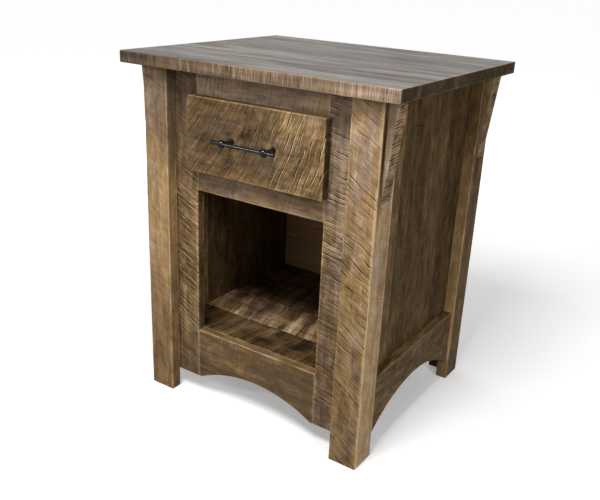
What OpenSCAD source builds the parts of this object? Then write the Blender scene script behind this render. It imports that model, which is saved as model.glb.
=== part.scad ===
// Rough-sawn nightstand: one drawer above an open cubby, on four wrapped corner legs.
// Millimetres, +Z up, the front faces -Y. The origin lies on the floor, under the middle
// of the footprint, which runs from the front of the pull to the back edge of the top.

/* [Overall] */
// Width of the top
top_w = 610; // [500:1:760]
// Depth of the top, front to back
top_d = 518; // [430:1:640]
// Height from the floor to the upper face of the top
height = 737; // [600:1:900]

/* [Top] */
// Thickness of the top
top_t = 23; // [16:0.5:32]
// Overhang of the top past the legs at each side
side_overhang = 38; // [24:1:60]
// Overhang of the top past the front legs
front_overhang = 24; // [5:1:50]
// Overhang of the top past the back legs
back_overhang = 4; // [0:1:30]

/* [Legs] */
// Width of the leg board that faces the front or the back
leg_w = 60; // [40:1:90]
// Width of the leg board that faces the side
leg_side_w = 60; // [40:1:90]
// Thickness of the leg boards, which is also the recess of the case behind them
leg_t = 25; // [18:1:32]

/* [Corbels] */
// How far the head of a corbel stands out from its leg
corbel_out = 20; // [10:1:24]
// Height of a corbel
corbel_h = 178; // [100:1:240]
// Thickness of a corbel, front to back
corbel_t = 32; // [18:1:36]
// Setback of a corbel from the front or back face of its leg
corbel_setback = 15; // [2:1:20]
// Thickness left at the tip of a corbel
corbel_tip = 1; // [0.5:0.5:4]

/* [Face frame] */
// Thickness of the face frame
frame_t = 19; // [15:1:25]
// Width of a stile
stile_w = 92; // [50:1:120]
// Clearance from the floor to the frame and the aprons
rail_z0 = 44; // [20:1:90]
// Height of the bottom rail
bottom_rail_h = 115; // [90:1:160]
// Height of the rail between the cubby and the drawer
middle_rail_h = 53; // [30:1:80]
// Height of the top rail
top_rail_h = 54; // [30:1:80]
// Rise of the arch in the bottom rail
front_rise = 37; // [10:1:60]

/* [Case] */
// Thickness of the side panels
panel_t = 19; // [12:1:25]
// Thickness of the aprons laid on the outside of the case
apron_t = 20; // [12:1:22]
// Height of the aprons
apron_h = 128; // [90:1:180]
// Rise of the arch in a side apron
side_rise = 59; // [10:1:80]
// Flat left at each end of an arch
arch_flat = 6; // [2:1:20]
// Thickness of the back panel
back_t = 12; // [6:1:19]
// Thickness of the cubby floor
shelf_t = 19; // [12:1:25]
// Thickness of the panel between the cubby and the drawer
divider_t = 12; // [6:1:19]
// Side of the square cleats
cleat = 19; // [12:1:25]
// Thickness of the boards that carry the slides
slide_board_t = 19; // [12:1:25]

/* [Drawer] */
// Height of the drawer opening in the face frame
drawer_opening_h = 133; // [90:1:200]
// How far the drawer front laps over the frame all round
overlay = 7; // [4:1:15]
// Thickness of the drawer front
drawer_front_t = 19; // [15:1:25]
// Gap between the closed drawer front and the frame
front_gap = 1.5; // [1:0.1:3]
// Thickness of the drawer box boards
box_t = 13; // [10:0.5:16]
// Clearance below the drawer box
box_clear = 6; // [4:1:12]
// Clearance above the drawer box
box_head = 17; // [8:1:30]
// Thickness of the drawer bottom
bottom_t = 6; // [4:0.5:9]
// Depth of the groove that holds the drawer bottom
groove = 6; // [4:0.5:8]
// Height of that groove above the lower edge of the box
groove_z = 10; // [8:1:16]

/* [Slides] */
// Thickness of a slide, side to side
slide_t = 12.7; // [12.5:0.1:13]
// Height of the outer member of a slide
slide_h = 45; // [42:0.5:48]
// Thickness of the slide steel
steel_t = 1.2; // [1:0.1:1.5]
// Diameter of the slide balls
ball_d = 3; // [2.5:0.1:3.5]
// Balls in one strip
balls = 6; // [4:1:8]

/* [Pull] */
// Distance between the posts of the pull
pull_centres = 96; // [64:32:128]
// Length of the bar
pull_l = 143; // [110:1:180]
// Diameter of the bar
bar_d = 7; // [5:0.5:9]
// Diameter of the ball on each post
knob_d = 16; // [12:0.5:20]
// Distance from the drawer front to the middle of the bar
pull_stand = 28.5; // [24:0.5:36]
// Diameter of a post
post_d = 8; // [7:0.5:10]

/* [Hidden] */
$fn = 48;

arch_fn = 180;       // facets of the shallow arches
cut = 1;             // how far a cutter runs past a face
fit = 0.05;          // gap around a screw, a slide ball and the pull's bar
groove_fit = 0.2;    // gap above the drawer bottom in its groove
left = -1;
right = 1;
front = -1;
back = 1;

// Front to back: the pull stands proud of the top, and the footprint is centred on the origin.
pull_reach = pull_stand + knob_d / 2 + drawer_front_t + front_gap;
pull_proud = max(0, pull_reach - leg_t - front_overhang);
top_front = (pull_proud - top_d) / 2;
leg_front = top_front + front_overhang;
leg_back = top_front + top_d - back_overhang;
frame_front = leg_front + leg_t;
frame_back = frame_front + frame_t;
case_back = leg_back - leg_t;
inside_back = case_back - back_t;
inside_d = inside_back - frame_back;
apron_l = leg_back - leg_front - 2 * leg_side_w;

// Side to side
leg_x = top_w / 2 - side_overhang;
case_x = leg_x - leg_t;
panel_x = case_x - panel_t;
opening_x = case_x - stile_w;
back_apron_l = 2 * (leg_x - leg_w);

// Floor to top
leg_top = height - top_t;
shelf_z = rail_z0 + bottom_rail_h;
drawer_top_z = leg_top - top_rail_h;
drawer_z = drawer_top_z - drawer_opening_h;
cubby_top_z = drawer_z - middle_rail_h;
divider_top = cubby_top_z + divider_t;
panel_z0 = shelf_z - shelf_t - cleat;

// Drawer
slide_x = opening_x - slide_t;
face_w = 2 * (opening_x + overlay);
face_h = drawer_opening_h + 2 * overlay;
face_z = drawer_z - overlay;
face_back = frame_front - front_gap;
face_front = face_back - drawer_front_t;
bumper_r = overlay / 2 - 0.5;
bumper_gap = 0.3;    // from a bumper to the frame when the drawer is closed
box_z = drawer_z + box_clear;
box_h = drawer_opening_h - box_clear - box_head;

// Slides come in steps of 50 mm, and the box is as deep as they are long
slide_step = 50;
slide_setback = 2;   // from the front of the frame to the slide
slide_end_gap = 10;  // least gap left behind the slide
slide_len = slide_step * floor((inside_back - frame_front - slide_setback - slide_end_gap) / slide_step);
slide_y = frame_front + slide_setback;
slide_z = box_z + 0.42 * box_h;
box_back_y = slide_y + slide_len;
box_inner_x = slide_x - box_t;
bottom_low = [-box_inner_x - groove, face_back + box_t - groove, box_z + groove_z];
bottom_high = [box_inner_x + groove, box_back_y - box_t + groove, box_z + groove_z + bottom_t];

// Heights of the slide members about slide_z, and their places across the slide from the case
race = ball_d + 2 * fit;
outer_half = slide_h / 2;
middle_half = outer_half - steel_t - race;
inner_half = middle_half - steel_t - race;
head_t = 1.6;        // height of a slide screw's head
member_gap = 0.5;    // from a screw head to the middle member
outer_tip = slide_t - steel_t;
middle_web = steel_t + head_t + member_gap;
middle_tip = outer_tip - 1;
inner_tip = middle_web + steel_t + 0.9;
strip_w = 4;         // width of a ball strip, across the slide
strip_t = 2;
strip_x = 5.8;
strip_l = slide_len / 2 - 10;
strip_y = slide_y + slide_len / 4 + 5;

// Screws: radius of the shank, radius and height of the head, length under the head
slide_screw = [1.9, 3.4, head_t, 12];
wood_screw = [2, 4, 2.6, 26];
top_screw = [2.2, 4.4, 3, 32];
slide_screw_y = [for (share = [0.09, 0.5, 0.91]) slide_y + share * slide_len];
top_screw_y = [for (share = [0.1, 0.5, 0.9]) frame_back + share * inside_d];
front_screw_x = box_inner_x - 22;
front_screw_z = [box_z + 28, box_z + box_h - 20];

// Pull
pull_z = drawer_z + drawer_opening_h / 2;
bar_y = face_front - pull_stand;
pull_screw_r = 2;
pull_screw_depth = 10;   // how far the screw runs into its post
foot_d = 13;
foot_t = 2.5;

// Colours
tan_wood = [0.60, 0.48, 0.34];
brown_wood = [0.44, 0.35, 0.25];
dark_wood = [0.30, 0.23, 0.16];
plain_wood = [0.72, 0.58, 0.40];
zinc = [0.72, 0.73, 0.75];
iron = [0.09, 0.09, 0.10];
brass = [0.75, 0.62, 0.32];
rubber = [0.30, 0.30, 0.30];

// ---- shared shapes ----

// A block from one corner to the other
module block(low, high) {
    translate(low) cube(high - low);
}

// A block on one side of the case: x_in and x_out are distances from the middle plane
module side_block(side, x_in, x_out, low_yz, high_yz) {
    low_x = side == right ? x_in : -x_out;
    block([low_x, low_yz[0], low_yz[1]], [low_x + x_out - x_in, high_yz[0], high_yz[1]]);
}

// Children drawn at the front left leg's outer arris, moved to any corner
module at_corner(side, end) {
    translate([side * leg_x, end == front ? leg_front : leg_back, 0])
        mirror([side == right ? 1 : 0, 0, 0])
        mirror([0, end == back ? 1 : 0, 0])
        children();
}

// Round cutter along Y whose crown lifts the lower edge of a rail by rise
module arch_cutter(span, rise, y0, y1) {
    half = span / 2 - arch_flat;
    radius = (half * half + rise * rise) / (2 * rise);
    translate([0, y0 - cut, rail_z0 + rise - radius])
        rotate([-90, 0, 0])
        cylinder(r = radius, h = y1 - y0 + 2 * cut, $fn = arch_fn);
}

// Screw along +Z with the underside of its head at the origin; size = radius, head, length
module screw(size) {
    translate([0, 0, -size[2]]) cylinder(r = size[1], h = size[2]);
    cylinder(r = size[0], h = size[3]);
}

// Hole for that screw's shank
module screw_hole(size) {
    translate([0, 0, -cut]) cylinder(r = size[0] + fit, h = size[3] + 2 * cut);
}

// ---- top ----

module top_screw_places() {
    for (side = [left, right], y = top_screw_y)
        translate([side * (panel_x - cleat / 2), y, leg_top - cleat]) children();
}

module top() {
    color(brown_wood)
    difference() {
        block([-top_w / 2, top_front, leg_top], [top_w / 2, top_front + top_d, height]);
        top_screw_places() screw_hole(top_screw);
    }
}

module top_cleat(side) {
    color(plain_wood)
    difference() {
        side_block(side, panel_x - cleat, panel_x, [frame_back, leg_top - cleat], [inside_back, leg_top]);
        top_screw_places() screw_hole(top_screw);
    }
}

module top_screws() {
    color(zinc)
    top_screw_places() screw(top_screw);
}

// ---- legs and corbels ----

module leg_face(side, end) {
    color(tan_wood)
    at_corner(side, end)
        linear_extrude(leg_top)
        polygon([[0, 0], [leg_w, 0], [leg_w, leg_t], [leg_t, leg_t]]);
}

module leg_side(side, end) {
    color(tan_wood)
    at_corner(side, end)
        linear_extrude(leg_top)
        polygon([[0, 0], [leg_t, leg_t], [leg_t, leg_side_w], [0, leg_side_w]]);
}

module corbel(side, end) {
    tip_z = leg_top - corbel_h;
    color(brown_wood)
    at_corner(side, end)
        translate([0, corbel_setback + corbel_t, 0])
        rotate([90, 0, 0])
        linear_extrude(corbel_t)
        polygon([[0, tip_z], [0, leg_top], [-corbel_out, leg_top], [-corbel_tip, tip_z]]);
}

// ---- face frame ----

module stile(side) {
    color(brown_wood)
    side_block(side, opening_x, case_x, [frame_front, rail_z0], [frame_back, leg_top]);
}

module rail(z0, z1) {
    color(brown_wood)
    block([-opening_x, frame_front, z0], [opening_x, frame_back, z1]);
}

module bottom_rail() {
    color(brown_wood)
    difference() {
        rail(rail_z0, shelf_z);
        arch_cutter(2 * opening_x, front_rise, frame_front, frame_back);
    }
}

// ---- case ----

module side_panel(side) {
    color(dark_wood)
    side_block(side, panel_x, case_x, [frame_back, panel_z0], [inside_back, leg_top]);
}

module side_apron(side) {
    color(brown_wood)
    difference() {
        side_block(side, case_x, case_x + apron_t,
            [leg_front + leg_side_w, rail_z0], [leg_back - leg_side_w, rail_z0 + apron_h]);
        translate([side * (case_x + apron_t / 2), (leg_front + leg_back) / 2, 0])
            rotate([0, 0, 90])
            arch_cutter(apron_l, side_rise, -apron_t / 2, apron_t / 2);
    }
}

module back_apron() {
    color(brown_wood)
    block([-back_apron_l / 2, case_back, rail_z0],
        [back_apron_l / 2, case_back + apron_t, rail_z0 + apron_h]);
}

module back_panel() {
    color(plain_wood)
    block([-case_x, inside_back, panel_z0], [case_x, case_back, leg_top]);
}

module shelf() {
    color(brown_wood)
    block([-panel_x, frame_back, shelf_z - shelf_t], [panel_x, inside_back, shelf_z]);
}

module shelf_cleat(side) {
    color(plain_wood)
    side_block(side, panel_x - cleat, panel_x, [frame_back, panel_z0], [inside_back, panel_z0 + cleat]);
}

module front_shelf_cleat() {
    color(plain_wood)
    block([cleat - panel_x, frame_back, panel_z0], [panel_x - cleat, frame_back + cleat, panel_z0 + cleat]);
}

module divider() {
    color(plain_wood)
    block([-panel_x, frame_back, cubby_top_z], [panel_x, inside_back, divider_top]);
}

module divider_cleat(side) {
    color(plain_wood)
    side_block(side, panel_x - cleat, panel_x, [frame_back, divider_top], [inside_back, divider_top + cleat]);
}

module slide_board(side) {
    color(plain_wood)
    difference() {
        side_block(side, opening_x, opening_x + slide_board_t,
            [frame_back, divider_top], [inside_back, drawer_top_z]);
        outer_screw_places() screw_hole(slide_screw);
    }
}

// ---- drawer ----

module pull_screw_places() {
    for (side = [left, right])
        translate([side * pull_centres / 2, face_back + box_t, pull_z]) rotate([90, 0, 0]) children();
}

module front_screw_places() {
    for (side = [left, right], z = front_screw_z)
        translate([side * front_screw_x, face_back + box_t, z]) rotate([90, 0, 0]) children();
}

module front_holes() {
    front_screw_places() screw_hole(wood_screw);
    pull_screw_places() translate([0, 0, -cut]) cylinder(r = pull_screw_r + fit, h = pull_reach);
}

module drawer_front() {
    color(brown_wood)
    difference() {
        block([-face_w / 2, face_front, face_z], [face_w / 2, face_back, face_z + face_h]);
        front_holes();
    }
}

// The groove for the drawer bottom, cut from the inside of every box board
module bottom_groove() {
    block(bottom_low, bottom_high + [0, 0, groove_fit]);
}

module box_end(y0) {
    color(plain_wood)
    difference() {
        block([-box_inner_x, y0, box_z], [box_inner_x, y0 + box_t, box_z + box_h]);
        bottom_groove();
        front_holes();
    }
}

module box_side(side) {
    color(plain_wood)
    difference() {
        side_block(side, box_inner_x, slide_x, [face_back, box_z], [box_back_y, box_z + box_h]);
        bottom_groove();
        inner_screw_places() screw_hole(slide_screw);
    }
}

module drawer_bottom() {
    color(plain_wood)
    block(bottom_low, bottom_high);
}

module front_screws() {
    color(zinc)
    front_screw_places() screw(wood_screw);
}

module bumpers() {
    color(rubber)
    for (side = [left, right])
        translate([side * (opening_x + overlay / 2), face_back, drawer_top_z + overlay / 2])
            rotate([-90, 0, 0])
            cylinder(r = bumper_r, h = front_gap - bumper_gap);
}

// ---- slides ----

// Places across a slide run from the case (0) to the drawer (slide_t)
module across(side) {
    translate([side * opening_x, slide_y + slide_len, slide_z])
        mirror([side == right ? 1 : 0, 0, 0])
        rotate([90, 0, 0])
        children();
}

// Channel section with its web at x_web and its flanges reaching to x_tip
module channel(x_web, x_tip, half) {
    low = min(x_web, x_tip);
    depth = abs(x_tip - x_web);
    hollow_x = x_web < x_tip ? low + steel_t : low - cut;
    linear_extrude(slide_len)
        difference() {
            translate([low, -half]) square([depth, 2 * half]);
            translate([hollow_x, steel_t - half]) square([depth - steel_t + cut, 2 * (half - steel_t)]);
        }
}

module outer_screw_places() {
    for (side = [left, right], y = slide_screw_y)
        translate([side * (opening_x - steel_t), y, slide_z]) rotate([0, side * 90, 0]) children();
}

module inner_screw_places() {
    for (side = [left, right], y = slide_screw_y)
        translate([side * (slide_x + steel_t), y, slide_z]) rotate([0, -side * 90, 0]) children();
}

module slide_outer(side) {
    color(zinc)
    difference() {
        across(side) channel(0, outer_tip, outer_half);
        outer_screw_places() screw_hole(slide_screw);
    }
}

module slide_middle(side) {
    color(zinc)
    across(side) channel(middle_web, middle_tip, middle_half);
}

module slide_inner(side) {
    color(zinc)
    difference() {
        across(side) channel(slide_t, inner_tip, inner_half);
        inner_screw_places() screw_hole(slide_screw);
    }
}

// Two strips of balls, above and below, that run against the race of height half
module ball_strips(side, half) {
    pitch = strip_l / balls;
    color(brass)
    for (up = [-1, 1])
        translate([side * (opening_x - strip_x - strip_w / 2), strip_y, slide_z + up * (half - race / 2)])
            union() {
                translate([-strip_w / 2, 0, -strip_t / 2]) cube([strip_w, strip_l, strip_t]);
                for (i = [0 : balls - 1]) translate([0, (i + 0.5) * pitch, 0]) sphere(d = ball_d);
            }
}

module outer_slide_screws() {
    color(zinc)
    outer_screw_places() screw(slide_screw);
}

module inner_slide_screws() {
    color(zinc)
    inner_screw_places() screw(slide_screw);
}

// ---- pull ----

module pull_bar() {
    end_l = 5;
    end_d = bar_d + 1.5;
    color(iron)
    translate([-pull_l / 2, bar_y, pull_z])
        rotate([0, 90, 0])
        rotate_extrude()
        polygon([
            [0, 0], [end_d / 2 - 1, 0], [end_d / 2, 1], [end_d / 2, end_l - 1], [bar_d / 2, end_l],
            [bar_d / 2, pull_l - end_l], [end_d / 2, pull_l - end_l + 1], [end_d / 2, pull_l - 1],
            [end_d / 2 - 1, pull_l], [0, pull_l]
        ]);
}

module pull_posts() {
    color(iron)
    for (side = [left, right])
        translate([side * pull_centres / 2, face_front, pull_z])
            rotate([90, 0, 0])
            difference() {
                union() {
                    cylinder(d1 = foot_d, d2 = foot_d - 2, h = foot_t);
                    cylinder(d = post_d, h = pull_stand);
                    translate([0, 0, pull_stand]) sphere(d = knob_d);
                }
                translate([0, 0, pull_stand]) rotate([0, 90, 0])
                    cylinder(d = bar_d + 2 * fit, h = 2 * knob_d, center = true);
                translate([0, 0, -cut]) cylinder(r = pull_screw_r + fit, h = pull_screw_depth + cut + fit);
            }
}

module pull_screws() {
    size = [pull_screw_r, 4, 2.5, box_t + drawer_front_t + pull_screw_depth];
    color(zinc)
    pull_screw_places() screw(size);
}

top();
leg_face(left, front);  // front_left_leg_face
leg_side(left, front);  // front_left_leg_side
leg_face(right, front);  // front_right_leg_face
leg_side(right, front);  // front_right_leg_side
leg_face(left, back);  // back_left_leg_face
leg_side(left, back);  // back_left_leg_side
leg_face(right, back);  // back_right_leg_face
leg_side(right, back);  // back_right_leg_side
corbel(left, front);  // front_left_corbel
corbel(right, front);  // front_right_corbel
corbel(left, back);  // back_left_corbel
corbel(right, back);  // back_right_corbel
stile(left);  // left_stile
stile(right);  // right_stile
rail(drawer_top_z, leg_top);  // top_rail
rail(cubby_top_z, drawer_z);  // middle_rail
bottom_rail();
side_panel(left);  // left_side_panel
side_panel(right);  // right_side_panel
side_apron(left);  // left_apron
side_apron(right);  // right_apron
back_apron();
back_panel();
shelf();
shelf_cleat(left);  // left_shelf_cleat
shelf_cleat(right);  // right_shelf_cleat
front_shelf_cleat();
divider();
divider_cleat(left);  // left_divider_cleat
divider_cleat(right);  // right_divider_cleat
slide_board(left);  // left_slide_board
slide_board(right);  // right_slide_board
top_cleat(left);  // left_top_cleat
top_cleat(right);  // right_top_cleat
top_screws();
drawer_front();
box_end(face_back);  // box_front
box_end(box_back_y - box_t);  // box_back
box_side(left);  // box_left
box_side(right);  // box_right
drawer_bottom();
front_screws();
bumpers();
slide_outer(left);  // left_slide_outer
slide_middle(left);  // left_slide_middle
slide_inner(left);  // left_slide_inner
slide_outer(right);  // right_slide_outer
slide_middle(right);  // right_slide_middle
slide_inner(right);  // right_slide_inner
ball_strips(left, outer_half - steel_t);  // left_outer_balls
ball_strips(left, middle_half - steel_t);  // left_inner_balls
ball_strips(right, outer_half - steel_t);  // right_outer_balls
ball_strips(right, middle_half - steel_t);  // right_inner_balls
outer_slide_screws();
inner_slide_screws();
pull_bar();
pull_posts();
pull_screws();
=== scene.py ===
# Looks of a rough-sawn nightstand, built around its imported CAD frame.
#
# Each rough-sawn board is a mesh of its own, with worn arrises. Where its grain and saw marks run,
# how worn it is and how it took the stain, with some painted light and painted shade, are written
# on the mesh as attributes, and one kind of procedural wood reads them. The plywood, the planed
# boards inside and the hardware keep their CAD shape, and get a material and, most of them, a
# small bevel.
# Lengths are in metres in the CAD model's frame: +X right, -Y front, +Z up.
import itertools
import math
from dataclasses import dataclass
from typing import NamedTuple

import bpy
import numpy as np
from mathutils import Matrix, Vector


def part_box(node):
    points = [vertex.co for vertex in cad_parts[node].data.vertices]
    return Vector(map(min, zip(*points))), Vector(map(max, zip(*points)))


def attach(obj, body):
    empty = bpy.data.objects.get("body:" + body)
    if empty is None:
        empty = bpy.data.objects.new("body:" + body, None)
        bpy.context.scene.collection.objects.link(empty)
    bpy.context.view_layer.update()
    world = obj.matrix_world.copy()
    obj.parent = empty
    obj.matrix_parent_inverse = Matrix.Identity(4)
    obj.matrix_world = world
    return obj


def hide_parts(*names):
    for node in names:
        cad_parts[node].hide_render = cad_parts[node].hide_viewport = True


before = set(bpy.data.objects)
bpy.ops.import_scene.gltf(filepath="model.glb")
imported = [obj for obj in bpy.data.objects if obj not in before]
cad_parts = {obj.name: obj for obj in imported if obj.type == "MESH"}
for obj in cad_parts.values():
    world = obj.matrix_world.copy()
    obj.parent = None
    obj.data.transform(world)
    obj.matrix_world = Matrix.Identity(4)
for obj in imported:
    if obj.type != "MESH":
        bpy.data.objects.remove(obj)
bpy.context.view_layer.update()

MM = 0.001
X, Y, Z = 0, 1, 2
SIDES = {"left": -1, "right": 1}
ENDS = {"front": -1, "back": 1}

ARRIS = 1.3 * MM             # radius of a worn outer arris
SEAM = 0.35 * MM             # radius of an arris at a glued seam
WEAR_BAND = 4.5 * MM         # how far wear reaches from an arris
WEAR_FALL = 1.7              # the power by which wear falls off within that band
SEAM_WEAR = 0.35             # how much a seam is worn, where an arris is 1
PITCH = 4.5 * MM             # size of a board's mesh squares
DRAWER_PITCH = 3.5 * MM      # the same on the drawer front
CORBEL_PITCH = 3 * MM        # and on a corbel
END_LINES = (0, 0.3, 0.65, 1, 1.9, 3.2)   # mesh lines near an arris, in radii
END_SHARE = 0.45             # the most of a side that the lines near one arris take up

# Shapes that part.scad cuts within a node's box
FRONT_RISE = 37 * MM         # rise of the arch in the bottom rail
SIDE_RISE = 59 * MM          # rise of the arch in a side apron
ARCH_FLAT = 6 * MM           # flat left at each end of an arch
CORBEL_TIP = 1 * MM          # thickness left at the tip of a corbel


# ---- noise and meshes ----

def lattice_noise(points, seed):
    """Smooth noise from -1 to 1 at each point, with features about one unit across.

    The large numbers and the shifts only scramble the place of a cell's corner into a value.
    """
    cell = np.floor(points).astype(np.int64)
    part = points - cell
    part = part * part * (3 - 2 * part)
    result = np.zeros(len(points))
    for corner in itertools.product((0, 1), repeat=3):
        c = cell + np.array(corner)
        code = (c[:, 0] * 73856093) ^ (c[:, 1] * 19349663) ^ (c[:, 2] * 83492791) ^ (seed * 7919)
        code = (code ^ (code >> 13)) * 1274126177
        value = ((code ^ (code >> 16)) & 0xFFFF) / 32767.5 - 1
        result += value * np.prod(np.where(np.array(corner) == 1, part, 1 - part), axis=1)
    return result


def mesh_lines(low, high, radii, pitch):
    """Places of a board's mesh lines along one side: close over the worn ends, then even."""
    length = high - low
    starts = np.array(END_LINES) * radii[0]
    finishes = np.array(END_LINES) * radii[1]
    starts = starts[starts < END_SHARE * length]
    finishes = finishes[finishes < END_SHARE * length]
    if radii[0] == 0:
        starts = starts[:1]
    if radii[1] == 0:
        finishes = finishes[:1]
    middle = length - starts[-1] - finishes[-1]
    count = max(1, round(middle / pitch))
    even = np.linspace(low + starts[-1], high - finishes[-1], count + 1)
    return np.concatenate([low + starts[:-1], even, high - finishes[:-1][::-1]])


def box_skin(lines):
    """Points and quads of the skin of a box with these mesh lines along X, Y and Z."""
    count = [len(line) for line in lines]
    place = np.indices(count)
    skin = np.zeros(count, bool)
    for axis in range(3):
        skin |= (place[axis] == 0) | (place[axis] == count[axis] - 1)
    index = np.full(count, -1)
    index[skin] = np.arange(skin.sum())
    points = np.stack([lines[axis][place[axis][skin]] for axis in range(3)], axis=1)
    quads = []
    for axis, end in itertools.product(range(3), (0, -1)):
        sheet = np.take(index, end, axis=axis)
        quad = np.stack([sheet[:-1, :-1], sheet[1:, :-1], sheet[1:, 1:], sheet[:-1, 1:]], axis=-1)
        quad = quad.reshape(-1, 4)
        outward = (end == -1) != (axis == Y)   # the sheets across Y wind the other way
        quads.append(quad if outward else quad[:, ::-1])
    return points, np.concatenate(quads)


def rounded(points, low, high, radii):
    """The points with the box's arrises rounded, by a radius for both ends of each axis."""
    start = low + radii[..., 0]
    inner = np.clip(points, start, np.maximum(high - radii[..., 1], start))
    past = points - inner
    radius = np.where(past < 0, radii[..., 0], radii[..., 1])
    share = np.abs(past) / np.maximum(radius, 1e-9)
    length = np.linalg.norm(share, axis=1)
    scale = share.max(axis=1) / np.maximum(length, 1e-9)
    return inner + past * np.where(length > 0, scale, 1)[:, None]


def wear_at(points, low, high, seams):
    """From 0 to 1, how worn each point of a box's skin is by its nearness to an arris.

    An arris is where two sides meet, so the second nearest side is the one that tells.
    """
    nearness = []
    for axis, end in itertools.product(range(3), (0, 1)):
        distance = points[:, axis] - low[axis] if end == 0 else high[axis] - points[:, axis]
        worn = SEAM_WEAR if (axis, end) in seams else 1
        nearness.append(worn * np.clip(1 - distance / WEAR_BAND, 0, 1))
    return np.sort(np.array(nearness), axis=0)[-2] ** WEAR_FALL


def write_attribute(mesh, name, values):
    """Writes a number or a vector for each point of the mesh, for the materials to read."""
    is_vector = values.ndim == 2
    layer = mesh.attributes.new(name, "FLOAT_VECTOR" if is_vector else "FLOAT", "POINT")
    layer.data.foreach_set("vector" if is_vector else "value", values.astype(np.float32).ravel())


def mesh_object(name, points, quads):
    """A smooth-shaded object with this mesh."""
    mesh = bpy.data.meshes.new(name)
    mesh.vertices.add(len(points))
    mesh.vertices.foreach_set("co", points.astype(np.float32).ravel())
    mesh.loops.add(quads.size)
    mesh.loops.foreach_set("vertex_index", quads.astype(np.int32).ravel())
    mesh.polygons.add(len(quads))
    mesh.polygons.foreach_set("loop_start", np.arange(0, quads.size, 4, dtype=np.int32))
    mesh.update(calc_edges=True)
    mesh.polygons.foreach_set("use_smooth", np.ones(len(quads), bool))
    mesh.validate()
    piece = bpy.data.objects.new(name, mesh)
    bpy.context.scene.collection.objects.link(piece)
    return piece


# ---- boards ----

class Spot(NamedTuple):
    """A patch of stain, painted light or painted shade, that fades outwards.

    a and b are its place along the two axes of the sawn face, and reach_a and reach_b its size
    along them, all in millimetres. tone, warmth and cuts are what it adds at its middle.
    """
    a: float
    b: float
    reach_a: float
    reach_b: float
    tone: float = 0.0
    warmth: float = 0.0
    cuts: float = 0.0


@dataclass
class Look:
    """How a board was sawn and stained.

    slot is the material slot. face is the axis that the sawn face looks along, grain the axis of
    the grain, and marks the angle of the saw marks in degrees, from the first of the other two
    axes to face. tone is how light the stain is, with painted shade in it on some boards, and
    warmth how golden, both about 0. cuts is how strong the saw marks are, and edge_cuts what is
    left of them on the board's edges. worn is how far the arrises are rubbed through, and fan how
    much the marks turn along the board. spots are patches of stain, painted light or painted shade
    on top of all this.
    """
    slot: str
    face: int
    grain: int
    marks: float
    tone: float = 0.0
    warmth: float = 0.0
    cuts: float = 1.0
    edge_cuts: float = 0.25
    worn: float = 1.0
    fan: float = 0.0
    spots: list | tuple = ()


def face_axes(face):
    """The two axes of a face that looks along the third."""
    return [axis for axis in range(3) if axis != face]


def saw_places(points, look):
    """Place of each point across the saw marks, along them and through the board."""
    first, second = face_axes(look.face)
    a = points[:, first]
    b = points[:, second]
    cosine = math.cos(math.radians(look.marks))
    sine = math.sin(math.radians(look.marks))
    fanned = look.fan * (a - a.mean()) * (b - b.mean())
    across = b * cosine - a * sine + fanned
    along = a * cosine + b * sine
    return np.stack([across, along, points[:, look.face]], axis=1)


def grain_places(points, look):
    """Place of each point along the grain and across it."""
    others = [axis for axis in range(3) if axis != look.grain]
    return points[:, [look.grain] + others]


def stain(points, look, on_edge):
    """Tone, warmth and strength of the saw marks at each point, with the spots' painted light and
    shade.
    """
    values = np.tile([look.tone, look.warmth, look.cuts], (len(points), 1))
    first, second = face_axes(look.face)
    for spot in look.spots:
        off_a = (points[:, first] / MM - spot.a) / spot.reach_a
        off_b = (points[:, second] / MM - spot.b) / spot.reach_b
        strength = np.exp(-(off_a ** 2 + off_b ** 2))
        values += strength[:, None] * np.array([spot.tone, spot.warmth, spot.cuts])
    values[:, 2] = np.maximum(values[:, 2], 0) * np.where(on_edge, look.edge_cuts, 1)
    return values


seeds = itertools.count(1)


def board(
        name, nodes, look, low, high, seams=(), open_ends=(), warp=None, body="case", pitch=PITCH):
    """A sawn board between two corners, which stands for these CAD nodes.

    seams are the sides glued to the next board and open_ends those with no arris of their own,
    each as (axis, end). warp bends the finished box into its shape.
    """
    seed = next(seeds)
    low = np.array(low, float)
    high = np.array(high, float)
    radii = np.full((3, 2), ARRIS)
    for side in seams:
        radii[side] = SEAM
    for side in open_ends:
        radii[side] = 0
    points, quads = box_skin([mesh_lines(low[a], high[a], radii[a], pitch) for a in range(3)])
    uneven = 1 + 0.45 * lattice_noise(points / (28 * MM), seed)
    uneven += 0.2 * lattice_noise(points / (7 * MM), seed)
    wear = look.worn * wear_at(points, low, high, seams)
    depth = np.minimum(points - low, high - points)[:, look.face]
    points = rounded(points, low, high, radii[None] * uneven[:, None, None])
    if warp:
        points = warp(points)
    wear *= 0.75 + 0.5 * lattice_noise(points / (18 * MM), seed + 50)
    middle = (points.min(axis=0) + points.max(axis=0)) / 2
    from_middle = points - middle * [1, 1, 0]
    apart = np.array([0.37, 0.53, 0.71]) * seed   # puts each board elsewhere in the noise
    piece = mesh_object(name, points, quads)
    write_attribute(piece.data, "grain", grain_places(points, look) + apart)
    write_attribute(piece.data, "saw", saw_places(from_middle, look) + apart)
    write_attribute(piece.data, "wear", wear)
    # the stain attribute also carries the painted light and shade of the spots and of some boards'
    # tone
    write_attribute(piece.data, "stain", stain(points, look, depth > ARRIS))
    piece.data.materials.append(materials[look.slot])
    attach(piece, body)
    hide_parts(*nodes)
    return piece


def corners(node):
    """The lowest and highest corners of a CAD node's box."""
    low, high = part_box(node)
    return np.array(low), np.array(high)


def node_board(node, look, **options):
    """A board in the place of one CAD node."""
    low, high = corners(node)
    return board(node + "_board", [node], look, low, high, **options)


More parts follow.
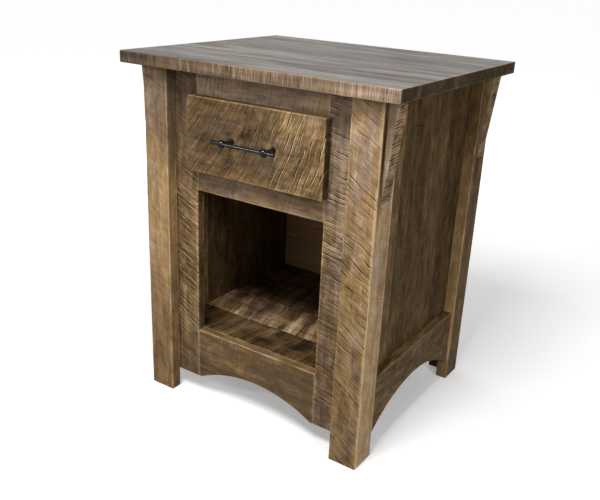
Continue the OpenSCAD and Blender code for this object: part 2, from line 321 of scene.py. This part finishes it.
def glued_boards(node, axis, shares, looks, **options):
    """Boards that fill a CAD node side by side along an axis, in these shares of its width."""
    low, high = corners(node)
    ends = low[axis] + (high[axis] - low[axis]) * np.cumsum([0, *shares]) / sum(shares)
    for i, look in enumerate(looks):
        board_low = low.copy()
        board_high = high.copy()
        board_low[axis] = ends[i]
        board_high[axis] = ends[i + 1]
        seams = []
        if i > 0:
            seams.append((axis, 0))
        if i < len(looks) - 1:
            seams.append((axis, 1))
        board(f"{node}_board_{i + 1}", [node], look, board_low, board_high, seams=seams, **options)


# ---- warps ----

def mitre(node, wide, thick, signs):
    """Cuts a leg board at 45 degrees towards its outer arris, and rounds that arris.

    wide and thick are the board's axes, and signs tells on which side of it the arris lies. The
    arris is rounder than the others and uneven. Both boards of a leg share its unevenness, so that
    they meet.
    """
    low, high = corners(node)
    arris = {axis: (high if signs[axis] > 0 else low)[axis] for axis in (wide, thick)}
    width = (high - low)[wide]

    def warp(points):
        u = (arris[wide] - points[:, wide]) * signs[wide]
        v = (arris[thick] - points[:, thick]) * signs[thick]
        u = v + u * (width - v) / width
        radius = ARRIS * (1.25 + 0.45 * lattice_noise(points[:, [Z, Z, Z]] / (25 * MM), 3))
        radii = np.zeros((len(points), 2, 2))
        radii[:, :, 0] = radius[:, None]
        far_side = np.full(2, 1.0)
        flat = rounded(np.stack([u, v], axis=1), np.zeros(2), far_side, radii)
        points[:, wide] = arris[wide] - signs[wide] * flat[:, 0]
        points[:, thick] = arris[thick] - signs[thick] * flat[:, 1]
        return points

    return warp


def taper(node, side):
    """Draws a corbel in towards its leg, from its full width at the head to a thin tip."""
    low, high = corners(node)
    leg_face = low[X] if side > 0 else high[X]
    tip = CORBEL_TIP / (high - low)[X]

    def warp(points):
        height = (points[:, Z] - low[Z]) / (high - low)[Z]
        points[:, X] = leg_face + (points[:, X] - leg_face) * (tip + (1 - tip) * height)
        return points

    return warp


def arch(node, axis, rise):
    """Lifts the lower edge of a rail into a round arch."""
    low, high = corners(node)
    middle = (low + high)[axis] / 2
    half = (high - low)[axis] / 2 - ARCH_FLAT
    radius = (half * half + rise * rise) / (2 * rise)

    def warp(points):
        off = np.abs(points[:, axis] - middle)
        lift = np.sqrt(radius * radius - np.minimum(off, half) ** 2) - (radius - rise)
        height = (high[Z] - points[:, Z]) / (high - low)[Z]
        points[:, Z] += height * lift
        return points

    return warp


# ---- material nodes ----

def new_material(name):
    """An empty material, with its node tree and its shader."""
    material = bpy.data.materials.new(name)
    material.use_nodes = True
    tree = material.node_tree
    tree.nodes.clear()
    output = tree.nodes.new("ShaderNodeOutputMaterial")
    shader = tree.nodes.new("ShaderNodeBsdfPrincipled")
    tree.links.new(shader.outputs["BSDF"], output.inputs["Surface"])
    return material, tree, shader


def feed(tree, socket, value):
    """Links a socket to another, or sets its number."""
    if isinstance(value, bpy.types.NodeSocket):
        tree.links.new(value, socket)
    else:
        socket.default_value = value


def maths(tree, operation, a, b=0.0, clamp=False):
    node = tree.nodes.new("ShaderNodeMath")
    node.operation = operation
    node.use_clamp = clamp
    feed(tree, node.inputs[0], a)
    feed(tree, node.inputs[1], b)
    return node.outputs[0]


def total(tree, *terms):
    """The sum of terms, each a socket and the number it is multiplied by."""
    result = 0.0
    for socket, factor in terms:
        node = tree.nodes.new("ShaderNodeMath")
        node.operation = "MULTIPLY_ADD"
        feed(tree, node.inputs[0], socket)
        feed(tree, node.inputs[1], factor)
        feed(tree, node.inputs[2], result)
        result = node.outputs[0]
    return result


def about(tree, middle, *terms):
    """A middle plus the sum of terms that lie about 0, held between 0 and 1."""
    return maths(tree, "ADD", total(tree, *terms), middle, clamp=True)


def split(tree, vector):
    """The three numbers of a vector."""
    node = tree.nodes.new("ShaderNodeSeparateXYZ")
    feed(tree, node.inputs[0], vector)
    return node.outputs


def scaled(tree, vector, scale):
    node = tree.nodes.new("ShaderNodeVectorMath")
    node.operation = "MULTIPLY"
    feed(tree, node.inputs[0], vector)
    node.inputs[1].default_value = scale
    return node.outputs[0]


def noise(tree, vector, scale, detail=2.0, distortion=0.0):
    """Noise about 0. scale is how many features it has to a metre along each axis."""
    node = tree.nodes.new("ShaderNodeTexNoise")
    feed(tree, node.inputs["Vector"], scaled(tree, vector, scale))
    node.inputs["Scale"].default_value = 1
    node.inputs["Detail"].default_value = detail
    node.inputs["Distortion"].default_value = distortion
    return maths(tree, "SUBTRACT", node.outputs["Fac"], 0.5)


def between(tree, value, low, high):
    """From 0 at low to 1 at high, smoothly. low may be the larger one."""
    node = tree.nodes.new("ShaderNodeMapRange")
    node.interpolation_type = "SMOOTHSTEP"
    feed(tree, node.inputs["Value"], value)
    node.inputs["From Min"].default_value = low
    node.inputs["From Max"].default_value = high
    return node.outputs["Result"]


def ramp(tree, value, stops):
    """A colour for a value from 0 to 1, between stops that are each a place and a colour."""
    node = tree.nodes.new("ShaderNodeValToRGB")
    feed(tree, node.inputs["Fac"], value)
    elements = node.color_ramp.elements
    while len(elements) < len(stops):
        elements.new(0.5)
    for element, (place, colour) in zip(elements, stops):
        element.position = place
        element.color = (*colour, 1)
    return node.outputs["Color"]


def mixed(tree, factor, a, b):
    """Colour a where factor is 0 and colour b where it is 1."""
    node = tree.nodes.new("ShaderNodeMix")
    node.data_type = "RGBA"
    feed(tree, node.inputs["Factor"], factor)
    feed(tree, node.inputs[6], a)
    feed(tree, node.inputs[7], b)
    return node.outputs[2]


def bump(tree, shader, height, distance):
    """Raises the surface by height, in units of distance."""
    node = tree.nodes.new("ShaderNodeBump")
    node.inputs["Distance"].default_value = distance
    feed(tree, node.inputs["Height"], height)
    tree.links.new(node.outputs["Normal"], shader.inputs["Normal"])


def attribute(tree, name, output="Vector"):
    """What a board's mesh says under this name."""
    node = tree.nodes.new("ShaderNodeAttribute")
    node.attribute_name = name
    return node.outputs[output]


def object_place(tree):
    return tree.nodes.new("ShaderNodeTexCoord").outputs["Object"]


# ---- wood ----

# The stain's colours, from where it is darkest to where it is rubbed through
GOLDEN = (
    (0.0, (0.010, 0.006, 0.003)),
    (0.25, (0.048, 0.028, 0.010)),
    (0.5, (0.158, 0.096, 0.040)),
    (0.75, (0.375, 0.236, 0.108)),
    (1.0, (0.680, 0.475, 0.255)),
)
GREYISH = (
    (0.0, (0.010, 0.007, 0.005)),
    (0.25, (0.050, 0.032, 0.020)),
    (0.5, (0.150, 0.102, 0.068)),
    (0.75, (0.335, 0.240, 0.168)),
    (1.0, (0.620, 0.490, 0.380)),
)


def stain_colour(tree, lightness, goldenness):
    return mixed(tree, goldenness, ramp(tree, lightness, GREYISH), ramp(tree, lightness, GOLDEN))


def cut_noise(tree, saw, scale, cuts, distortion=0.0):
    """Unevenness that the saw left, as strong as the board's saw marks."""
    return maths(tree, "MULTIPLY", noise(tree, saw, scale, distortion=distortion), cuts)


def gouge_and_crest(tree, saw, cuts, pitch, share):
    """The gouges that the saw's teeth left and the crest beside each, both from 0 to 1.

    They are the tops of a wave across the board that drifts and jitters. pitch is their spacing
    and share a gouge's width as a share of it. They come and go along the board.
    """
    drift = noise(tree, saw, (14, 10, 10), detail=1)
    jitter = noise(tree, saw, (150, 80, 80), detail=3)
    across = split(tree, saw)[X]
    turn = total(tree, (across, math.tau / pitch), (drift, 11.0), (jitter, 1.5))
    beside = maths(tree, "ADD", turn, 1.7 * math.pi * share)
    here = between(tree, noise(tree, saw, (70, 20, 20), detail=1), -0.1, 0.16)
    strength = maths(tree, "MULTIPLY", here, cuts)
    least = math.cos(math.pi * share)
    marks = []
    for angle in (turn, beside):
        top = between(tree, maths(tree, "SINE", angle), least, 1)
        marks.append(maths(tree, "MULTIPLY", top, strength))
    return marks


def sawn_wood(
        name, cut_pitch=11 * MM, gouge_share=0.15, gouges=0.24, crests=0.14, fine=0.6, broad=0.25,
        streaks=0.8, mottling=0.42, wear=0.36):
    """Rough-sawn, brown-stained maple.

    The stain gathers in the gouges, and is rubbed through on their crests and along the arrises.
    gouges, crests, fine, broad, streaks, mottling and wear say how much each of these changes the
    stain: fine is for the fine lines of the saw, and broad for the wide bands of its feed.
    """
    material, tree, shader = new_material(name)
    grain = attribute(tree, "grain")
    saw = attribute(tree, "saw")
    worn = attribute(tree, "wear", "Fac")
    # tone also holds the painted light and painted shade of some boards and spots
    tone, warmth, cuts = split(tree, attribute(tree, "stain"))

    figure = noise(tree, grain, (6, 30, 30), detail=3, distortion=0.8)
    mottle = noise(tree, grain, (30, 70, 70), detail=3, distortion=0.6)
    streak = noise(tree, grain, (10, 170, 170), detail=3, distortion=0.3)
    fibre = noise(tree, grain, (50, 700, 700))
    specks = noise(tree, grain, (90, 330, 330))
    light_specks = between(tree, specks, 0.1, 0.26)
    dark_specks = between(tree, specks, -0.1, -0.26)
    hue = noise(tree, grain, (13, 28, 28), detail=3, distortion=0.5)

    gouge, crest = gouge_and_crest(tree, saw, cuts, cut_pitch, gouge_share)
    feed_band = cut_noise(tree, saw, (42, 7, 7), cuts, distortion=0.2)
    band = cut_noise(tree, saw, (120, 24, 24), cuts)
    line = cut_noise(tree, saw, (430, 60, 60), cuts)

    lightness = about(
        tree, 0.5, (tone, 1.0),
        (figure, 0.5 * streaks), (mottle, mottling), (streak, 0.35 * streaks), (fibre, 0.14),
        (light_specks, 0.1), (dark_specks, -0.08), (gouge, -gouges), (crest, crests),
        (feed_band, broad), (band, 0.5 * fine), (line, 0.6 * fine), (worn, wear))
    goldenness = about(
        tree, 0.72, (warmth, 1.0), (hue, 2.6), (streak, 0.8), (light_specks, 0.3), (worn, 0.3))
    feed(tree, shader.inputs["Base Color"], stain_colour(tree, lightness, goldenness))
    rough = about(tree, 0.56, (mottle, 0.3), (line, 0.4), (gouge, 0.25))
    feed(tree, shader.inputs["Roughness"], rough)
    shader.inputs["Specular IOR Level"].default_value = 0.16
    height = total(
        tree, (gouge, -0.8), (crest, 0.4), (band, 1.0), (line, 0.8), (fibre, 0.3), (mottle, 0.5),
        (specks, 0.4))
    bump(tree, shader, height, 0.9 * MM)
    return material


def smooth_top_wood(name):
    """The top's boards: sanded and lacquered on the face, still rough on the edges."""
    material, tree, shader = new_material(name)
    grain = attribute(tree, "grain")
    saw = attribute(tree, "saw")
    worn = attribute(tree, "wear", "Fac")
    # tone also holds the painted light on the front edge of the top
    tone, warmth, cuts = split(tree, attribute(tree, "stain"))
    figure = noise(tree, grain, (2.6, 22, 22), detail=4, distortion=1.0)
    streak = noise(tree, grain, (4, 120, 120), detail=3, distortion=0.3)
    mottle = noise(tree, grain, (12, 40, 40), detail=3, distortion=0.5)
    band = cut_noise(tree, saw, (150, 9, 9), cuts)
    line = cut_noise(tree, saw, (620, 30, 30), cuts)
    lightness = about(
        tree, 0.5, (tone, 1.0), (figure, 0.6), (streak, 0.35), (mottle, 0.35), (band, 0.4),
        (line, 0.6), (worn, 0.3))
    goldenness = about(tree, 0.5, (warmth, 1.0), (figure, 1.5), (worn, 0.3))
    feed(tree, shader.inputs["Base Color"], stain_colour(tree, lightness, goldenness))
    rough = about(tree, 0.24, (figure, -0.55), (mottle, 0.3), (streak, 0.25), (cuts, 0.36))
    feed(tree, shader.inputs["Roughness"], rough)
    shader.inputs["Specular IOR Level"].default_value = 0.55
    height = total(tree, (band, 1.4), (line, 1.2), (figure, 1.2), (streak, 0.3), (mottle, 0.5))
    bump(tree, shader, height, 0.35 * MM)
    return material


PLY_TURN = 2000              # radians to a metre of the wave that shows the plies


def planed_wood(name, dark, light, along, plied=False):
    """Planed wood, with the grain along one axis.

    plied adds a faint wave from front to back, which shows the plies on the back panel's edges.
    """
    material, tree, shader = new_material(name)
    place = object_place(tree)
    streak_scale = [150, 150, 150]
    streak_scale[along] = 6
    fibre_scale = [900, 900, 900]
    fibre_scale[along] = 30
    broad = noise(tree, place, [s / 6 for s in streak_scale], detail=3, distortion=0.8)
    streak = noise(tree, place, streak_scale, detail=3)
    fibre = noise(tree, place, fibre_scale)
    terms = [(broad, 0.9), (streak, 1.2), (fibre, 0.6)]
    if plied:
        wave = maths(tree, "SINE", maths(tree, "MULTIPLY", split(tree, place)[Y], PLY_TURN))
        terms.append((wave, 0.06))
    value = about(tree, 0.5, *terms)
    feed(tree, shader.inputs["Base Color"], ramp(tree, value, ((0.0, dark), (1.0, light))))
    feed(tree, shader.inputs["Roughness"], about(tree, 0.5, (broad, 0.3), (fibre, 0.3)))
    bump(tree, shader, total(tree, (fibre, 1.0), (streak, 0.6)), 0.25 * MM)
    return material


# ---- metal and rubber ----

def black_iron(name):
    """Hammered iron under black lacquer, rubbed a little on its high spots."""
    material, tree, shader = new_material(name)
    place = object_place(tree)
    dents = tree.nodes.new("ShaderNodeTexVoronoi")
    dents.feature = "SMOOTH_F1"
    feed(tree, dents.inputs["Vector"], scaled(tree, place, (320, 320, 320)))
    dents.inputs["Scale"].default_value = 1
    dents.inputs["Smoothness"].default_value = 1
    grit = noise(tree, place, (1500, 1500, 1500))
    rubbed = noise(tree, place, (180, 180, 180), detail=3)
    shade = about(tree, 0.45, (rubbed, 0.9), (grit, 0.4))
    stops = (
        (0.0, (0.003, 0.003, 0.004)),
        (0.65, (0.006, 0.006, 0.007)),
        (1.0, (0.028, 0.025, 0.023)))
    feed(tree, shader.inputs["Base Color"], ramp(tree, shade, stops))
    feed(tree, shader.inputs["Roughness"], about(tree, 0.17, (rubbed, 0.2), (grit, 0.1)))
    shader.inputs["Coat Weight"].default_value = 0.25
    shader.inputs["Coat Roughness"].default_value = 0.12
    bump(tree, shader, total(tree, (dents.outputs["Distance"], 0.5), (grit, 0.1)), 0.06 * MM)
    return material


def plated_metal(name, dark, light):
    """Rolled and plated metal, with faint lines along the slides."""
    material, tree, shader = new_material(name)
    place = object_place(tree)
    drawn = noise(tree, place, (1400, 40, 1400))
    cloud = noise(tree, place, (70, 70, 70), detail=3)
    value = about(tree, 0.5, (drawn, 0.7), (cloud, 1.2))
    feed(tree, shader.inputs["Base Color"], ramp(tree, value, ((0.0, dark), (1.0, light))))
    feed(tree, shader.inputs["Roughness"], about(tree, 0.38, (cloud, 0.4), (drawn, 0.3)))
    shader.inputs["Metallic"].default_value = 1
    bump(tree, shader, drawn, 0.05 * MM)
    return material


def grey_rubber(name):
    material, tree, shader = new_material(name)
    dust = noise(tree, object_place(tree), (900, 900, 900), detail=3)
    stops = ((0.2, (0.05, 0.05, 0.05)), (1, (0.12, 0.12, 0.12)))
    feed(tree, shader.inputs["Base Color"], ramp(tree, about(tree, 0.5, (dust, 1.0)), stops))
    feed(tree, shader.inputs["Roughness"], about(tree, 0.75, (dust, 1.0)))
    bump(tree, shader, dust, 0.1 * MM)
    return material


# A dark and a light colour of each
PLY = ((0.19, 0.105, 0.042), (0.62, 0.375, 0.170))
MAPLE = ((0.30, 0.18, 0.085), (0.62, 0.44, 0.26))
STEEL = ((0.42, 0.43, 0.45), (0.68, 0.69, 0.72))
BRASS = ((0.45, 0.34, 0.14), (0.75, 0.60, 0.30))

materials = {
    "top_wood": smooth_top_wood("top_wood"),
    "leg_wood": sawn_wood(
        "leg_wood", cut_pitch=15 * MM, gouge_share=0.17, gouges=0.32, streaks=0.65),
    "corbel_wood": sawn_wood(
        "corbel_wood", cut_pitch=5.5 * MM, gouge_share=0.34, gouges=0.36, fine=0.8),
    "frame_wood": sawn_wood(
        "frame_wood", cut_pitch=10 * MM, gouge_share=0.27, gouges=0.34, crests=0.2),
    "side_wood": sawn_wood(
        "side_wood", cut_pitch=14 * MM, fine=0.25, mottling=0.55, wear=0.22),
    "shelf_wood": sawn_wood(
        "shelf_wood", cut_pitch=13 * MM, gouge_share=0.22, gouges=0.3, broad=1.3),
    "drawer_wood": sawn_wood("drawer_wood", gouges=0.3, crests=0.4, fine=0.8, streaks=0.6),
    "plywood": planed_wood("plywood", *PLY, X, plied=True),
    "inner_wood_x": planed_wood("inner_wood_x", *MAPLE, X),
    "inner_wood_y": planed_wood("inner_wood_y", *MAPLE, Y),
    "zinc_steel": plated_metal("zinc_steel", *STEEL),
    "ball_strip": plated_metal("ball_strip", *BRASS),
    "pull_iron": black_iron("pull_iron"),
    "bumper": grey_rubber("bumper"),
}


# ---- case ----

def top_look(tone, warmth, spots):
    """Saw marks hardly show on the sanded face, and strongly on the edges."""
    return Look(
        "top_wood", face=Z, grain=X, marks=90, tone=tone, warmth=warmth, cuts=0.35, edge_cuts=2.9,
        worn=0.6, spots=spots)


def build_top():
    """Painted light on the front edge, brightest at its right end; the right edge golden, next to
    no saw marks.
    """
    front_spots = (
        # painted light along the front edge, brightest towards its right end
        Spot(-30, -257, 190, 6, tone=0.29, cuts=0.3),
        Spot(290, -257, 150, 6, tone=0.48, warmth=-0.4, cuts=0.3),
        Spot(308, 0, 5, 240, tone=0.04, warmth=1.2, cuts=-0.5))
    right_spots = (Spot(308, 0, 5, 500, tone=0.04, warmth=1.2, cuts=-0.5),)
    looks = [
        top_look(-0.27, -0.1, front_spots),
        top_look(-0.2, -0.2, right_spots),
        top_look(-0.28, -0.2, right_spots),
        top_look(-0.2, -0.1, right_spots),
    ]
    glued_boards("top", Y, (118, 142, 121, 137), looks)


LEG_MARKS = {"left": -28, "right": -31}
LEG_CUTS = {"left": 0.45, "right": 1.0}
LEG_SPOTS = {
    "left": (
        Spot(-237, 640, 90, 90, tone=-0.14, warmth=-0.6),
        Spot(-237, 420, 90, 170, tone=0.08, warmth=0.1)),
    "right": (
        Spot(237, 640, 90, 70, tone=0.08, warmth=-0.3, cuts=-0.3),
        Spot(237, 380, 90, 90, tone=-0.03, warmth=0.2, cuts=0.3)),
}


def leg_face_look(side, end):
    """Painted shade along the inner edge, by the stile, and at the foot. The back legs mirror the
    front ones.
    """
    s = SIDES[side]
    # painted shade in the corner between the leg and the stile
    painted_corner_shade = Spot(s * 206, 400, 4, 700, tone=-0.12)
    # painted shade towards the foot of the leg
    foot = Spot(s * 237, 60, 90, 190, tone=-0.10, warmth=0.1)
    return Look(
        "leg_wood", face=Y, grain=Z, marks=-ENDS[end] * LEG_MARKS[side], tone=0.19, warmth=0.1,
        cuts=LEG_CUTS[side], spots=(painted_corner_shade, foot, *LEG_SPOTS[side]))


def leg_side_look(end):
    """Painted shadow beside the corbel. The back legs' boards are darker, but for their inner
    edge.
    """
    front = end == "front"
    # painted shadow in the corner between the leg and the corbel
    spots = [Spot(ENDS[end] * 221, 640, 6, 110, tone=-0.75, warmth=0.1)]
    if not front:
        spots.append(Spot(199, 400, 3, 700, tone=0.25, warmth=0.4))
        spots.append(Spot(199, 640, 3, 140, tone=-0.25))
    return Look(
        "leg_wood", face=X, grain=Z, marks=24 * ENDS[end], tone=0.36 if front else 0.02,
        warmth=0.15, cuts=0.25, worn=1.0 if front else 0.45, spots=spots)


def build_legs():
    for (side, s), (end, e) in itertools.product(SIDES.items(), ENDS.items()):
        arris = {X: s, Y: e}
        node = f"{end}_{side}_leg_face"
        look = leg_face_look(side, end)
        node_board(node, look, open_ends=[(X, int(s > 0))], warp=mitre(node, X, Y, arris))
        node = f"{end}_{side}_leg_side"
        look = leg_side_look(end)
        node_board(node, look, open_ends=[(Y, int(e > 0))], warp=mitre(node, Y, X, arris))


def build_corbels():
    for (side, s), end in itertools.product(SIDES.items(), ENDS):
        node = f"{end}_{side}_corbel"
        low, high = corners(node)
        outer = (low if end == "front" else high)[Y] / MM
        grey_face = Spot(outer, 625, 3, 400, tone=0.05, warmth=-0.6)
        look = Look(
            "corbel_wood", face=X, grain=Z, marks=6, tone=0.2, cuts=2.0, edge_cuts=0.1, worn=0.6,
            spots=[grey_face])
        node_board(node, look, warp=taper(node, s), pitch=CORBEL_PITCH)


def frame_look(grain, marks, **stain_values):
    return Look("frame_wood", face=Y, grain=grain, marks=marks, **stain_values)


def build_face_frame():
    spots = (
        Spot(-196, 620, 90, 110, warmth=-0.4, cuts=-0.7),
        Spot(-190, 330, 70, 150, tone=0.07, warmth=0.3, cuts=0.8),
        # painted shadow in the corner between the stile and the left leg
        Spot(-206, 400, 3, 700, tone=-0.25, warmth=0.2),
        # painted shade on the stile's edge at the cubby opening
        Spot(-149.5, 300, 1.3, 300, tone=-0.25, warmth=-0.4))
    node_board("left_stile", frame_look(Z, -25, tone=0.01, spots=spots))
    spots = (
        Spot(196, 640, 90, 90, tone=0.16, warmth=-0.7),
        Spot(196, 450, 90, 110, tone=0.14, warmth=-0.2, cuts=0.4),
        Spot(196, 200, 90, 190, tone=-0.10))
    node_board("right_stile", frame_look(Z, -11, tone=0.07, warmth=-0.1, spots=spots))
    spots = (Spot(-120, 690, 60, 60, tone=0.05, warmth=0.1, cuts=0.2),)
    node_board("top_rail", frame_look(X, 80, tone=0.24, warmth=-0.4, cuts=0.35, spots=spots))
    spots = (Spot(-40, 500, 90, 60, tone=0.05, cuts=0.2),)
    node_board("middle_rail", frame_look(X, 75, tone=0.05, warmth=-0.3, cuts=0.15, spots=spots))
    spots = (
        Spot(-60, 120, 70, 40, tone=0.06, warmth=0.2, cuts=0.2),
        Spot(-130, 90, 40, 60, tone=-0.06, warmth=0.1))
    look = frame_look(X, 85, tone=-0.03, cuts=0.15, spots=spots)
    node_board("bottom_rail", look, warp=arch("bottom_rail", X, FRONT_RISE))


def build_sides():
    for side in SIDES:
        looks = [
            Look("side_wood", face=X, grain=Z, marks=4, tone=0.03, warmth=0.5, cuts=0.3),
            Look("side_wood", face=X, grain=Z, marks=-6, tone=-0.12, warmth=0.5, cuts=0.3),
            Look("side_wood", face=X, grain=Z, marks=5, tone=-0.08, warmth=0.5, cuts=0.25),
            Look("side_wood", face=X, grain=Z, marks=-3, tone=-0.17, warmth=0.5, cuts=0.3),
        ]
        glued_boards(f"{side}_side_panel", Y, (96, 112, 88, 113), looks)
        node = f"{side}_apron"
        look = Look("side_wood", face=X, grain=Y, marks=80, tone=-0.04, warmth=0.2, cuts=0.4)
        node_board(node, look, warp=arch(node, Y, SIDE_RISE))
    look = Look("side_wood", face=Y, grain=X, marks=80, tone=-0.08, warmth=0.1, cuts=0.5)
    node_board("back_apron", look)


def build_shelf():
    looks = [
        Look("shelf_wood", face=Z, grain=X, marks=84, tone=-0.17, warmth=0.2, cuts=0.65),
        Look("shelf_wood", face=Z, grain=X, marks=103, tone=0.17, cuts=1.1),
        # the two back boards are darker as painted shade deep in the cubby
        Look("shelf_wood", face=Z, grain=X, marks=98, tone=-0.1, cuts=0.7),
        Look("shelf_wood", face=Z, grain=X, marks=86, tone=-0.1, cuts=0.7),
    ]
    glued_boards("shelf", Y, (91, 105, 108, 105), looks)


def build_drawer_front():
    spots = (
        Spot(-110, 600, 55, 90, tone=-0.17, warmth=-0.2, cuts=-0.5),
        Spot(0, 610, 70, 60, tone=-0.17, warmth=-0.1, cuts=-0.1),
        Spot(100, 640, 60, 30, tone=0.21, warmth=0.2, cuts=0.5),
        Spot(140, 590, 60, 60, tone=-0.06, cuts=0.3),
        Spot(-157, 593, 3, 200, tone=-0.14),
        # painted shade on the right end of the drawer front
        Spot(157, 593, 1.3, 200, tone=-0.28, warmth=0.3))
    look = Look(
        "drawer_wood", face=Y, grain=X, marks=62, tone=0.05, warmth=0.1, fan=-1.5, spots=spots)
    node_board("drawer_front", look, body="drawer", pitch=DRAWER_PITCH)


# ---- nodes that keep their CAD shape ----

def finish_node(node, material, bevel=0.0):
    """Gives a CAD node its material, and a small bevel on its sharp edges."""
    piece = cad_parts[node]
    piece.data.materials.clear()
    piece.data.materials.append(materials[material])
    if bevel:
        modifier = piece.modifiers.new("bevel", "BEVEL")
        modifier.width = bevel
        modifier.segments = 2
        modifier.limit_method = "ANGLE"
        modifier.angle_limit = math.radians(40)


def finish_cad_nodes():
    for node in ("back_panel", "divider", "drawer_bottom"):
        finish_node(node, "plywood", bevel=0.5 * MM)
    for node in ("front_shelf_cleat", "box_front", "box_back"):
        finish_node(node, "inner_wood_x", bevel=0.8 * MM)
    for side in SIDES:
        for kind in ("shelf_cleat", "divider_cleat", "slide_board", "top_cleat"):
            finish_node(f"{side}_{kind}", "inner_wood_y", bevel=0.8 * MM)
        finish_node(f"box_{side}", "inner_wood_y", bevel=0.8 * MM)
        for member in ("outer", "middle", "inner"):
            finish_node(f"{side}_slide_{member}", "zinc_steel", bevel=0.2 * MM)
        for strip in ("outer", "inner"):
            finish_node(f"{side}_{strip}_balls", "ball_strip")
    for kind in ("top", "front", "pull", "outer_slide", "inner_slide"):
        finish_node(f"{kind}_screws", "zinc_steel", bevel=0.25 * MM)
    for node in ("pull_bar", "pull_posts"):
        finish_node(node, "pull_iron")
    finish_node("bumpers", "bumper", bevel=0.3 * MM)


# ---- stage ----

FLOOR_REACH = 60             # half the floor's width, in metres


def seen_directly(tree):
    """1 for what the camera sees itself, and 0 for the light that this sends to the object."""
    return tree.nodes.new("ShaderNodeLightPath").outputs["Is Camera Ray"]


def pale_floor():
    """A matt floor that fades into the pale room. It shows paler than it lights the object."""
    material, tree, shader = new_material("pale_floor")
    distance = tree.nodes.new("ShaderNodeVectorMath")
    distance.operation = "LENGTH"
    feed(tree, distance.inputs[0], object_place(tree))
    far = between(tree, distance.outputs["Value"], 0.3, 3.0)
    seen = seen_directly(tree)
    feed(tree, shader.inputs["Base Color"], total(tree, (1.0, 0.3), (seen, 0.6)))
    shader.inputs["Roughness"].default_value = 0.95
    shader.inputs["Specular IOR Level"].default_value = 0.1
    shader.inputs["Emission Color"].default_value = (1, 1, 1, 1)
    glow = maths(tree, "MULTIPLY", total(tree, (1.0, 0.25), (far, 0.55)), seen)
    feed(tree, shader.inputs["Emission Strength"], glow)
    return material


def build_floor():
    mesh = bpy.data.meshes.new("floor")
    outline = ((-1, -1), (1, -1), (1, 1), (-1, 1))
    points = [(x * FLOOR_REACH, y * FLOOR_REACH, 0) for x, y in outline]
    mesh.from_pydata(points, [], [(0, 1, 2, 3)])
    floor = bpy.data.objects.new("floor", mesh)
    bpy.context.scene.collection.objects.link(floor)
    mesh.materials.append(pale_floor())


def aim(lamp, place, target):
    """Puts a light at a place, looking at a target."""
    forward = np.array(target, float) - np.array(place, float)
    yaw = math.atan2(-forward[X], forward[Y])
    pitch = math.atan2(forward[Z], math.hypot(forward[X], forward[Y]))
    turn = Matrix.Rotation(yaw, 4, "Z") @ Matrix.Rotation(math.pi / 2 + pitch, 4, "X")
    lamp.matrix_world = Matrix.Translation(place) @ turn


def area_light(name, place, target, size, power, colour=(1, 1, 1)):
    """A soft rectangular light of this size and power, in watts. The camera doesn't see it."""
    data = bpy.data.lights.new(name, "AREA")
    data.shape = "RECTANGLE"
    data.size, data.size_y = size
    data.energy = power
    data.color = colour
    lamp = bpy.data.objects.new(name, data)
    lamp.visible_camera = False
    bpy.context.scene.collection.objects.link(lamp)
    aim(lamp, place, target)


def build_lights():
    """The key hangs over the front. back_fill stays below the top, where it can't glare on it."""
    area_light("key", (0.2, -1.3, 2.3), (0, -0.1, 0.4), (0.7, 0.7), 44, (1, 0.985, 0.96))
    area_light("front_fill", (-1.5, -2.2, 1.5), (0, 0, 0.45), (0.4, 0.4), 11)
    area_light("cubby_fill", (-0.2, -3.2, 0.9), (0, 0, 0.4), (1.6, 1.2), 7)
    area_light("side_fill", (2.7, -1.3, 1.5), (0, 0, 0.35), (0.9, 0.9), 30)
    area_light("back_top", (-1.7, 2.6, 1.9), (0, 0, 0.7), (3.6, 1.6), 17)
    area_light("back_fill", (-2.6, 1.5, 0.5), (0, 0, 0.35), (1.6, 0.35), 26)


def build_world():
    """A pale room. It looks white, but lights the object less than it shows."""
    world = bpy.data.worlds.new("room")
    bpy.context.scene.world = world
    world.use_nodes = True
    tree = world.node_tree
    tree.nodes.clear()
    output = tree.nodes.new("ShaderNodeOutputWorld")
    background = tree.nodes.new("ShaderNodeBackground")
    background.inputs["Color"].default_value = (1, 1, 1, 1)
    strength = total(tree, (1.0, 0.2), (seen_directly(tree), 0.75))
    feed(tree, background.inputs["Strength"], strength)
    tree.links.new(background.outputs[0], output.inputs["Surface"])


CAMERA_PLACE = (0.8106, -1.2872, 0.9154)
CAMERA_YAW = 33.23           # degrees from straight ahead to the left
CAMERA_TILT = 68.60          # degrees up from straight down
CAMERA_ROLL = 2.59           # degrees about the line of sight
CAMERA_LENS = 44.52          # mm, on a sensor 36 mm wide


def build_camera():
    """The camera stands to the right of the front, a little above the top."""
    data = bpy.data.cameras.new("camera")
    data.sensor_width = 36
    data.lens = CAMERA_LENS
    camera = bpy.data.objects.new("camera", data)
    bpy.context.scene.collection.objects.link(camera)
    turn = (
        Matrix.Rotation(math.radians(CAMERA_YAW), 4, "Z")
        @ Matrix.Rotation(math.radians(CAMERA_TILT), 4, "X")
        @ Matrix.Rotation(math.radians(CAMERA_ROLL), 4, "Z"))
    camera.matrix_world = Matrix.Translation(CAMERA_PLACE) @ turn
    bpy.context.scene.camera = camera


build_camera()
build_top()
build_legs()
build_corbels()
build_face_frame()
build_sides()
build_shelf()
build_drawer_front()
finish_cad_nodes()
build_floor()
build_world()
build_lights()
bpy.context.scene.view_settings.view_transform = "Standard"
